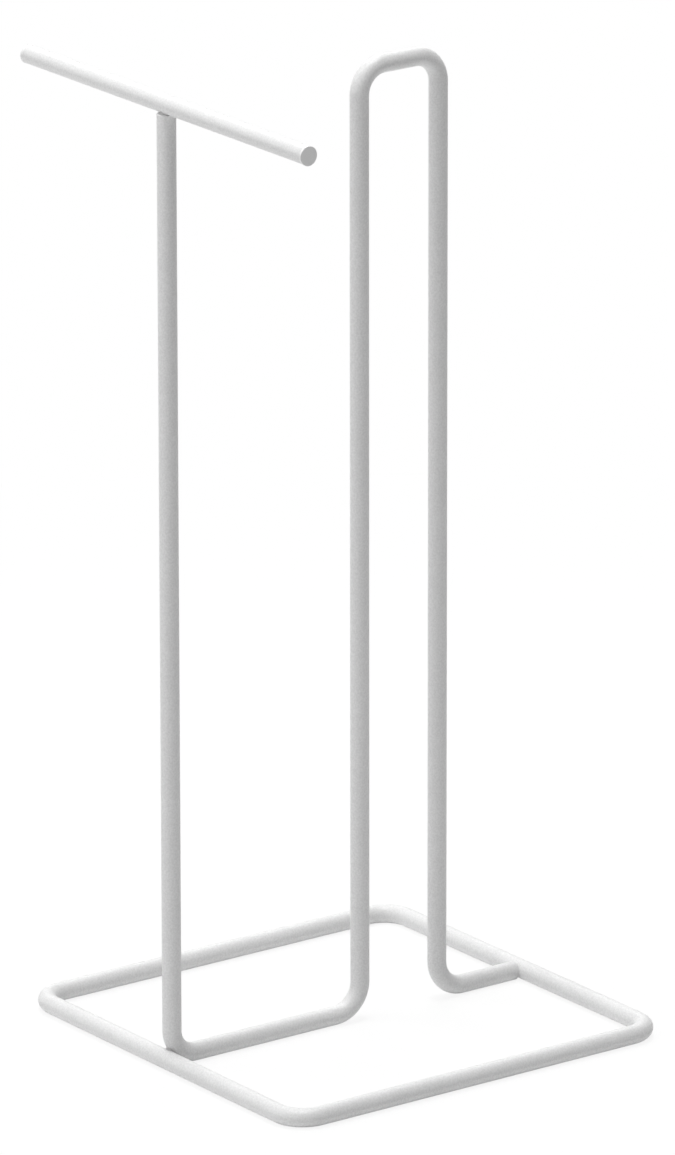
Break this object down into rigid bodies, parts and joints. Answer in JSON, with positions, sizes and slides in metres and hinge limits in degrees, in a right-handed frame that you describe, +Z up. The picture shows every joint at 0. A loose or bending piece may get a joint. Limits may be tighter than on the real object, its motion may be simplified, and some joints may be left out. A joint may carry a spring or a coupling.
{
  "type": "paper roll holder",
  "caption": "Free-standing toilet roll holder of bent round rod: a square floor ring, a post with a cross bar for the roll in use, and a tall narrow arch that stores spare rolls.",
  "frame": {"origin": "on the floor, at the middle of the square base ring", "axes": "+Z up, +X along the cross bar, -Y towards the front rail, which the cross bar stands above, +Y towards the rear rail"},
  "size_m": [0.2014, 0.2, 0.4307],
  "materials": {
    "coated_steel": "matt white powder coat over steel rod",
    "plug_plastic": "matt white moulded plastic"
  },
  "bodies": {
    "root": {"base_ring": "coated_steel", "base_ring_weld": "coated_steel", "upright_rod": "coated_steel", "cross_bar": "coated_steel", "left_end_plug": "plug_plastic", "right_end_plug": "plug_plastic", "tee_weld_front": "coated_steel", "tee_weld_rear": "coated_steel", "tail_weld_top": "coated_steel", "tail_weld_under": "coated_steel", "front_weld": "coated_steel"}
  },
  "joints": []
}
